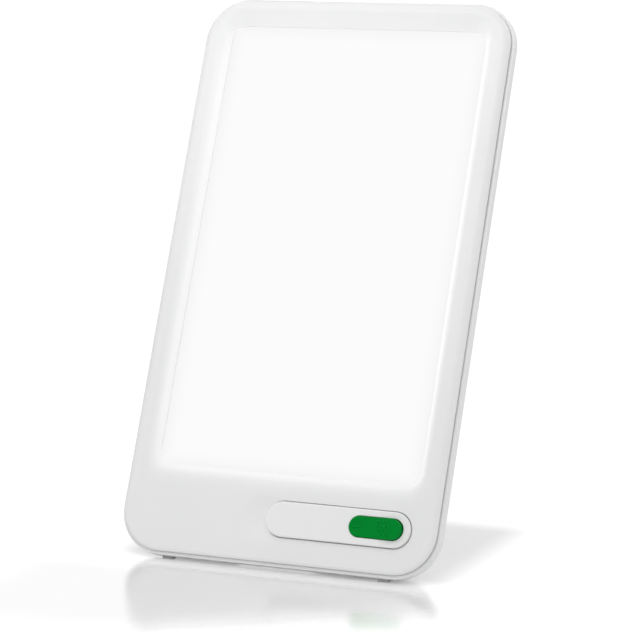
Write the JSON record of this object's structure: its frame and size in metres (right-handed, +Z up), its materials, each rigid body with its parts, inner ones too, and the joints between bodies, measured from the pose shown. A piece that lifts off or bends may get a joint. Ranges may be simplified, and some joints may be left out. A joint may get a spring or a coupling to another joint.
{
  "type": "light therapy lamp",
  "caption": "Tabletop light therapy lamp: a leaning flat panel with a lit opal window, a rocker switch on its chin and a fold-out rear stand.",
  "frame": {"origin": "on the table, at the centre of the lamp's footprint box with the stand open", "axes": "+Z up, the lit face looks towards -Y and upwards, +X to the right of someone facing it"},
  "size_m": [0.1734, 0.1384, 0.2773],
  "materials": {
    "housing_white": "satin moulded plastic",
    "opal_panel": "opal diffuser sheet",
    "tray_white": "white reflector sheet",
    "board_white": "white solder mask",
    "emitter_yellow": "phosphor",
    "socket_white": "moulded",
    "zinc_steel": "zinc plated",
    "foot_rubber": "matt",
    "plate_white": "semi-gloss moulded plastic",
    "switch_black": "moulded",
    "rocker_green": "tinted gloss plastic",
    "contact_brass": "plated",
    "lead_red": "insulation",
    "board_green": "solder mask",
    "ferrite_grey": "ferrite",
    "can_aluminium": "sleeved can"
  },
  "bodies": {
    "lamp": {"front_frame": "housing_white", "diffuser_panel": "opal_panel", "reflector_tray": "tray_white", "led_board": "board_white", "led_emitters": "emitter_yellow", "led_connector": "socket_white", "rear_cover": "housing_white", "case_screws": "zinc_steel", "front_feet": "foot_rubber", "stand_hinge_pin": "zinc_steel", "switch_plate": "plate_white", "switch_body": "switch_black", "rocker_pin": "zinc_steel", "switch_terminals": "contact_brass", "switch_leads": "lead_red", "driver_board": "board_green", "board_screw": "zinc_steel", "driver_coil": "ferrite_grey", "driver_capacitor": "can_aluminium", "driver_chip": "switch_black", "driver_connectors": "socket_white", "led_leads": "lead_red", "dc_jack": "switch_black", "dc_jack_pin": "zinc_steel"},
    "stand": {"stand_leg": "housing_white", "stand_foot_pad": "foot_rubber"},
    "rocker": {"rocker": "rocker_green", "plunger": "switch_black", "plunger_spring": "zinc_steel"},
    "contact": {"contact_lever": "contact_brass"}
  },
  "joints": [
    {"name": "stand_fold", "type": "hinge", "parent": "lamp", "child": "stand", "pos_m": [0, 0.01904, 0.14643], "axis": [-1, 0, 0], "range_deg": [0, 38.65]},
    {"name": "rocker_tilt", "type": "hinge", "parent": "lamp", "child": "rocker", "pos_m": [0.0544, -0.05987, 0.02482], "axis": [0, 0.4011, 0.916], "range_deg": [0, 10]},
    {"name": "contact_tilt", "type": "hinge", "parent": "lamp", "child": "contact", "pos_m": [0.0544, -0.05282, 0.02173], "axis": [0, 0.4011, 0.916], "range_deg": [-12, 0]}
  ],
  "couplings": [
    {"joint": "contact_tilt", "follows": "rocker_tilt", "ratio": -1.2}
  ]
}
